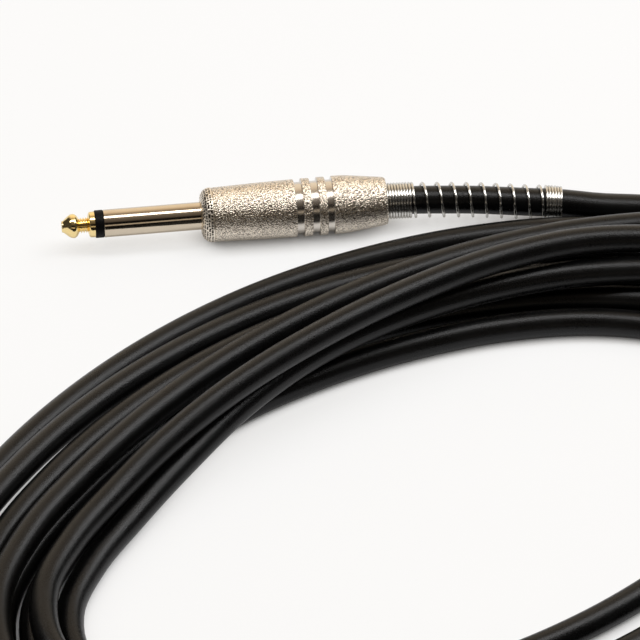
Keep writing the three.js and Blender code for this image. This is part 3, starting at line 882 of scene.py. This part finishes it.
def stranded_copper(tree, place):
    waves = {"Vector": place, "Scale": 1200, "Distortion": 2}
    strands = tree.node("TexWave", {"bands_direction": "Z"}, waves)
    return {
        "Base Color": tree.mix(strands, rgb(150, 84, 50), rgb(214, 140, 96)),
        "Metallic": 1.0,
        "Roughness": 0.3 + 0.15 * strands,
        "Normal": tree.bump(strands, 0.03 * MM),
    }


def milky_plastic(tree, place):
    clouds = tree.noise(place, 0.8 * MM, 3, 0.6)
    return {
        "Base Color": tree.mix(clouds, rgb(214, 210, 198), rgb(230, 227, 217)),
        "Roughness": 0.45 + 0.1 * clouds,
        "Normal": tree.bump(clouds, 0.01 * MM),
    }


hidden_finishes = {
    "earth_terminal": finish("tinned_sheet", tinned),
    "rear_insulator": black_insulator,
    "conductor": finish("bare_copper", stranded_copper),
    "core_insulation": finish("core_plastic", milky_plastic),
    "tip_solder": finish("solder", dull_solder),
    "liner": black_insulator,
}
same_finish = {"tip_lug": "earth_terminal", "braid_pigtail": "conductor", "earth_solder": "tip_solder"}
for piece, like in same_finish.items():
    hidden_finishes[piece] = hidden_finishes[like]
for node, material in hidden_finishes.items():
    for end in "ab":
        materials = frame["nodes"][f"{node}_{end}"].data.materials
        materials.clear()
        materials.append(material)
print("hidden pieces with a finish:", 2 * len(hidden_finishes))

# %% [markdown]
# ## Floor, lamps and world
# The photograph is high-key: a white table under a long lamp, a second lamp at the right, a warm pale
# wall behind and a dark room on the camera's side. The nickel sleeve shows all of it, from the wall
# at its top edge to the floor at its bottom edge. A picture of a room could light the scene, but a
# ramp is enough: it goes from the wall, over the top, to the dark room with one pale strip in it, and
# is dimmer at both sides. The floor is nearly white by its own colour and keeps the shadow. A glow
# that lamps don't see thins that shadow wherever the floor lies open, and a short ambient occlusion
# keeps the glow out of the gaps between the strands.

# %% Floor
floor_size = 12
glow_share = 0.72
mirrored_share = 0.4


def table_white():
    """A matt white with a glow that the camera and mirrors see, which thins every open shadow on it."""
    material = bpy.data.materials.new("table_white")
    tree = Tree(material)
    mottle = tree.noise(tree.node("TexCoord", output="Object"), 30 * MM, 3, 0.5)
    paint = tree.mix(mottle, rgb(234, 236, 240), rgb(237, 239, 243))
    lit = tree.node("BsdfPrincipled", {}, {"Base Color": paint, "Roughness": 0.9, "Specular IOR Level": 0.1})
    glow = tree.node("Emission", {}, {"Color": rgb(255, 254, 252), "Strength": 1.03})
    air = tree.node("AmbientOcclusion", {"samples": 8}, {"Distance": 6 * MM}, output=1)
    open_air = tree.between(0.08, 0.6, air)
    camera_ray, glossy_ray, glass_ray = (
        tree.node("LightPath", output=f"Is {ray} Ray") for ray in ("Camera", "Glossy", "Transmission"))
    seen = camera_ray + glass_ray + mirrored_share * glossy_ray
    mixed = tree.node("MixShader", {}, {0: glow_share * open_air * seen, 1: lit, 2: glow})
    tree.node("OutputMaterial", {}, {"Surface": mixed})
    return material


floor_corners = [(x * floor_size, y * floor_size, 0) for x, y in ((-1, -1), (1, -1), (1, 1), (-1, 1))]
floor = new_piece("floor", floor_corners, [(0, 1, 2, 3)], [table_white()])
print("floor", 2 * floor_size, "m wide")

# %% Lamps and world
# A rectangular lamp shines with its energy over four times its area.
energy_per_radiance = 4


def softbox(name, centre, towards, width, height, radiance, colour):
    """A rectangular lamp, placed in metres from the camera's aim: to the right, away and up."""
    lamp = bpy.data.lights.new(name, "AREA")
    lamp.shape = "RECTANGLE"
    lamp.size, lamp.size_y = width, height
    lamp.energy = energy_per_radiance * width * height * radiance
    lamp.color = colour
    holder = bpy.data.objects.new(name, lamp)
    turned_with_camera = Matrix.Rotation(-camera_turn, 4, "Z")
    holder.location = aim + turned_with_camera @ Vector(centre)
    holder.rotation_euler = (turned_with_camera @ Vector(towards)).to_track_quat("-Z", "Y").to_euler()
    bpy.context.scene.collection.objects.link(holder)


softbox("lamp_overhead", centre=(0, 0.12, 1), towards=(0, -0.12, -1), width=2.38, height=0.27,
        radiance=4.0, colour=(0.97, 0.98, 1))
softbox("lamp_right", centre=(0.635, 0.313, 0.707), towards=(-0.635, -0.313, -0.707), width=0.5, height=0.6,
        radiance=2.0, colour=(1, 1, 1))

world = bpy.data.worlds.new("room")
bpy.context.scene.world = world
sky = Tree(world)
direction = sky.node("TexCoord", output="Generated")
behind = sky.node("VectorMath", {"operation": "DOT_PRODUCT"}, {0: direction, 1: ahead}, output=1)
above = sky.node("SeparateXYZ", {}, {"Vector": direction}, output=2)
# 0 is level behind the cable, 0.5 is overhead and 1 is level on the camera's side.
angle = above.math("ARCTAN2", above, behind) * (2 / TAU)
wall = [(0, rgb(255, 240, 218)), (0.18, rgb(250, 232, 208)), (0.26, rgb(228, 206, 180))]
ceiling = [(0.33, rgb(165, 150, 130)), (0.5, rgb(150, 138, 122)), (0.6, rgb(108, 100, 92))]
dark_room = [(0.69, rgb(90, 82, 74)), (0.75, rgb(14, 13, 12)), (0.83, rgb(10, 9, 9))]
pale_strip = [(0.85, rgb(190, 178, 162)), (0.88, rgb(190, 178, 162)), (0.9, rgb(8, 8, 8))]
room = sky.node("ValToRGB", {"stops": wall + ceiling + dark_room + pale_strip}, {"Fac": angle})
beside = sky.node("VectorMath", {"operation": "DOT_PRODUCT"}, {0: direction, 1: UP.cross(ahead)}, output=1)
room = sky.mix(sky.between(0.08, 0.5, beside * beside), room, rgb(60, 58, 56))
seen = sky.node("LightPath", output="Is Camera Ray") + sky.node("LightPath", output="Is Transmission Ray")
backdrop = sky.mix(seen, room, rgb(254, 253, 251))
background = sky.node("Background", {}, {"Color": backdrop, "Strength": 1.15})
sky.node("OutputWorld", {}, {"Surface": background})
bpy.context.scene.view_settings.view_transform = "Standard"
